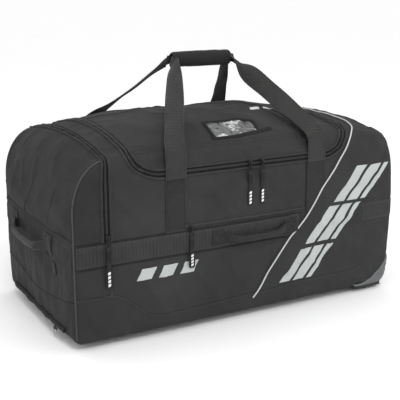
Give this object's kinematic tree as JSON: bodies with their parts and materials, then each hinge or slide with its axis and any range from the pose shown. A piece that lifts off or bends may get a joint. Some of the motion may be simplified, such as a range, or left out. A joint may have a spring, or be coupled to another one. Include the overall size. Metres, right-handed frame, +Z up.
{
  "type": "hockey equipment bag",
  "caption": "Large wheeled hockey equipment bag with a zipped lid, separate end compartment, wrapped carry straps, grab handles and inset wheels.",
  "frame": {"origin": "floor level under the middle of the bag's bounding box", "axes": "+X along the bag towards the wheels, -Y the front face with the side pocket, +Z up"},
  "size_m": [0.892, 0.4909, 0.614],
  "materials": {
    "base_fabric": "coated heavy fabric, matt",
    "board": "corrugated stiffener board",
    "shell_fabric": "charcoal woven polyester, PVC backed",
    "end_fabric": "darker charcoal woven polyester",
    "webbing": "ribbed polypropylene webbing",
    "grip_fabric": "padded fabric with bound edges",
    "zip_coil": "black nylon coil zip on woven tape",
    "piping": "silver reflective piping",
    "rail_plastic": "moulded black plastic",
    "guard_plastic": "grained grey moulded plastic",
    "axle_steel": "turned pin",
    "rivet": "domed head",
    "clear_vinyl": "clear soft vinyl sheet",
    "binding": "black binding tape",
    "hub_plastic": "moulded grey nylon",
    "wheel_rubber": "soft moulded tread",
    "slider_metal": "black coated die casting",
    "pull_rubber": "moulded cord pull"
  },
  "bodies": {
    "shell": {"base_panel": "base_fabric", "base_board": "board", "front_panel": "shell_fabric", "back_panel": "shell_fabric", "right_end_panel": "shell_fabric", "right_shoulder_panel": "shell_fabric", "right_top_panel": "shell_fabric", "left_bridge_panel": "shell_fabric", "divider_panel": "end_fabric", "end_lower_panel": "end_fabric", "front_band": "webbing", "back_band": "webbing", "end_band": "webbing", "main_zip_track": "zip_coil", "front_strap_left": "webbing", "front_strap_right": "webbing", "back_strap_left": "webbing", "back_strap_right": "webbing", "side_handle_patches": "webbing", "end_handle_patches": "webbing", "pocket_zip": "zip_coil", "end_zip_track": "zip_coil", "silver_piping": "piping", "skid_rails": "rail_plastic", "wheel_housing_front": "guard_plastic", "wheel_housing_back": "guard_plastic", "wheel_axles": "axle_steel", "base_rivets": "rivet", "base_pocket_zip": "zip_coil"},
    "lid": {"lid_panel": "shell_fabric", "lid_front_lip": "shell_fabric", "lid_zip_track": "zip_coil", "id_window": "clear_vinyl", "id_window_binding": "binding"},
    "end_flap": {"flap_end_panel": "end_fabric", "flap_top_panel": "end_fabric", "flap_front_gusset": "end_fabric", "flap_back_gusset": "end_fabric"},
    "wheel_front": {"wheel_hub_front": "hub_plastic", "tyre_front": "wheel_rubber"},
    "wheel_back": {"wheel_hub_back": "hub_plastic", "tyre_back": "wheel_rubber"},
    "front_loop": {"front_carry_loop": "webbing", "grip_pad": "grip_fabric"},
    "back_loop": {"back_carry_loop": "webbing"},
    "grip_flap": {"grip_flap": "grip_fabric"},
    "side_handle": {"side_handle_bar": "grip_fabric", "side_handle_ends": "grip_fabric"},
    "end_handle": {"end_handle_bar": "grip_fabric", "end_handle_ends": "grip_fabric"},
    "main_slider_left": {"main_slider_left": "slider_metal"},
    "main_pull_left": {"main_pull_left": "pull_rubber"},
    "main_slider_right": {"main_slider_right": "slider_metal"},
    "main_pull_right": {"main_pull_right": "pull_rubber"},
    "pocket_slider": {"pocket_slider": "slider_metal"},
    "pocket_pull": {"pocket_pull": "pull_rubber"},
    "end_slider": {"end_slider": "slider_metal"},
    "end_pull": {"end_pull": "pull_rubber"},
    "base_pocket_slider": {"base_pocket_slider": "slider_metal"},
    "base_pocket_pull": {"base_pocket_pull": "pull_rubber"}
  },
  "joints": [
    {"name": "lid_open", "type": "hinge", "parent": "shell", "child": "lid", "pos_m": [0, 0.228, 0.421], "axis": [-1, 0, 0], "range_deg": [0, 110], "deforming": ["front_carry_loop", "back_carry_loop"]},
    {"name": "end_flap_open", "type": "hinge", "parent": "shell", "child": "end_flap", "pos_m": [-0.43, 0, 0.2415], "axis": [0, -1, 0], "range_deg": [0, 90]},
    {"name": "front_loop_fall", "type": "hinge", "parent": "shell", "child": "front_loop", "pos_m": [0, -0.2387, 0.366], "axis": [1, 0, 0], "range_deg": [0, 198]},
    {"name": "back_loop_fall", "type": "hinge", "parent": "shell", "child": "back_loop", "pos_m": [0, 0.2387, 0.366], "axis": [-1, 0, 0], "range_deg": [0, 198]},
    {"name": "grip_flap_open", "type": "hinge", "parent": "front_loop", "child": "grip_flap", "pos_m": [0, 0, 0.614], "axis": [1, 0, 0], "range_deg": [0, 120]},
    {"name": "wheel_spin_front", "type": "hinge", "parent": "shell", "child": "wheel_front", "pos_m": [0.376, -0.204, 0.033], "axis": [0, 1, 0], "continuous": true},
    {"name": "wheel_spin_back", "type": "hinge", "parent": "shell", "child": "wheel_back", "pos_m": [0.376, 0.204, 0.033], "axis": [0, 1, 0], "continuous": true},
    {"name": "side_handle_lift", "type": "hinge", "parent": "shell", "child": "side_handle", "pos_m": [0, -0.2374, 0.227], "axis": [-1, 0, 0], "range_deg": [0, 90]},
    {"name": "end_handle_lift", "type": "hinge", "parent": "shell", "child": "end_handle", "pos_m": [-0.4344, 0, 0.219], "axis": [0, 1, 0], "range_deg": [0, 90]},
    {"name": "main_zip_left", "type": "slide", "parent": "shell", "child": "main_slider_left", "axis": [-1, 0, 0], "range_m": [0, 0.225]},
    {"name": "main_zip_right", "type": "slide", "parent": "shell", "child": "main_slider_right", "axis": [1, 0, 0], "range_m": [0, 0.175]},
    {"name": "pocket_zip_slide", "type": "slide", "parent": "shell", "child": "pocket_slider", "axis": [1, 0, 0], "range_m": [0, 0.068]},
    {"name": "end_zip_slide", "type": "slide", "parent": "shell", "child": "end_slider", "axis": [0, 0, 1], "range_m": [0, 0.157]},
    {"name": "base_pocket_zip_slide", "type": "slide", "parent": "shell", "child": "base_pocket_slider", "axis": [0, 1, 0], "range_m": [0, 0.25]},
    {"name": "main_pull_left_swing", "type": "hinge", "parent": "main_slider_left", "child": "main_pull_left", "pos_m": [0.002, -0.2402, 0.371], "axis": [-1, 0, 0], "range_deg": [0, 130]},
    {"name": "main_pull_right_swing", "type": "hinge", "parent": "main_slider_right", "child": "main_pull_right", "pos_m": [0.034, -0.2402, 0.372], "axis": [-1, 0, 0], "range_deg": [0, 130]},
    {"name": "pocket_pull_swing", "type": "hinge", "parent": "pocket_slider", "child": "pocket_pull", "pos_m": [-0.152, -0.2402, 0.24], "axis": [-1, 0, 0], "range_deg": [0, 130]},
    {"name": "end_pull_swing", "type": "hinge", "parent": "end_slider", "child": "end_pull", "pos_m": [-0.352, -0.2402, 0.244], "axis": [-1, 0, 0], "range_deg": [0, 130]},
    {"name": "base_pocket_pull_swing", "type": "hinge", "parent": "base_pocket_slider", "child": "base_pocket_pull", "pos_m": [-0.4372, -0.1215, 0.0205], "axis": [0, 1, 0], "range_deg": [0, 120]}
  ],
  "couplings": [
    {"joint": "front_loop_fall", "follows": "lid_open", "ratio": 1.8},
    {"joint": "back_loop_fall", "follows": "lid_open", "ratio": 1.8},
    {"joint": "grip_flap_open", "follows": "lid_open", "ratio": 1}
  ]
}
